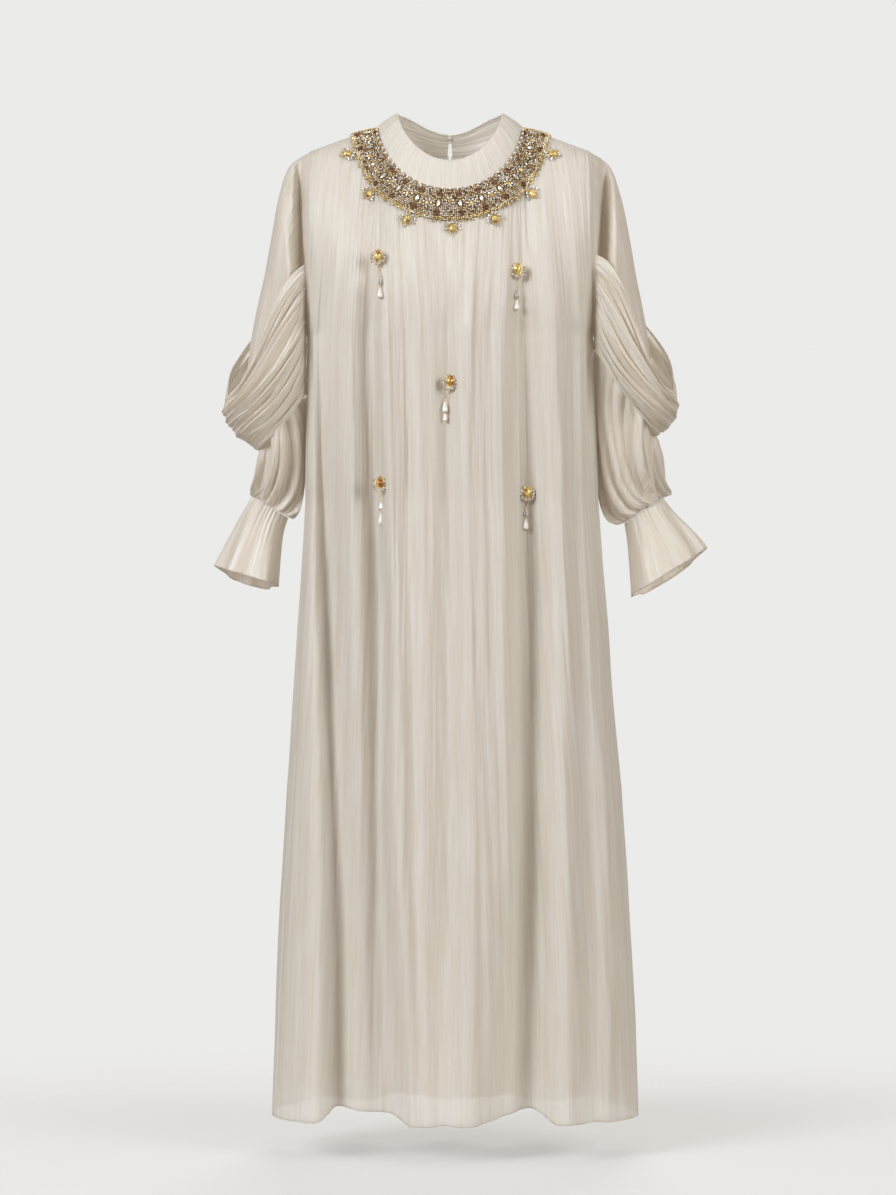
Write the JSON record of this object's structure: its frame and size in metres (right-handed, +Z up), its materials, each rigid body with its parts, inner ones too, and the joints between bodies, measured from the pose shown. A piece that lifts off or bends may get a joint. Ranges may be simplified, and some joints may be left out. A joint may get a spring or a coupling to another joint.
{
  "type": "abaya",
  "caption": "Long hollow abaya of crinkled satin chiffon with a beaded neck, stand collar, draped cowl sleeves gathered at the wrist, and ruffle cuffs.",
  "frame": {"origin": "middle of the neck, level with the neck points of the shoulder seams, where the wearer's shoulders hold the garment up", "axes": "+Z up along the garment's length; the front faces -Y; +X to the right as seen from the front"},
  "size_m": [0.7068, 0.3257, 1.4262],
  "materials": {
    "crinkled_satin_chiffon": "crinkled, silky sheen",
    "lining_voile": "plain woven, matte",
    "seed_bead_gold": "small gold-lined glass beads",
    "amber_glass": "faceted, set in gold",
    "pearl_glass": "smooth, pearly"
  },
  "bodies": {
    "root": {"front": "crinkled_satin_chiffon", "back": "crinkled_satin_chiffon", "lining_front": "lining_voile", "lining_back": "lining_voile", "collar": "crinkled_satin_chiffon", "back_button": "crinkled_satin_chiffon", "button_loop": "crinkled_satin_chiffon", "upper_sleeve_left": "crinkled_satin_chiffon", "upper_sleeve_right": "crinkled_satin_chiffon", "sleeve_drape_left": "crinkled_satin_chiffon", "sleeve_drape_right": "crinkled_satin_chiffon", "lower_sleeve_left": "crinkled_satin_chiffon", "lower_sleeve_right": "crinkled_satin_chiffon", "cuff_ruffle_left": "crinkled_satin_chiffon", "cuff_ruffle_right": "crinkled_satin_chiffon", "neck_beadwork": "seed_bead_gold", "neck_pendant_1": "amber_glass", "neck_pendant_2": "amber_glass", "neck_pendant_3": "amber_glass", "neck_pendant_4": "amber_glass", "neck_pendant_5": "amber_glass", "neck_pendant_6": "amber_glass", "neck_pendant_7": "amber_glass", "chest_ornament_1": "amber_glass", "chest_ornament_2": "amber_glass", "chest_ornament_3": "amber_glass", "chest_ornament_4": "amber_glass", "chest_ornament_5": "amber_glass", "chest_drop_1": "pearl_glass", "chest_drop_2": "pearl_glass", "chest_drop_3": "pearl_glass", "chest_drop_4": "pearl_glass", "chest_drop_5": "pearl_glass"}
  },
  "joints": []
}
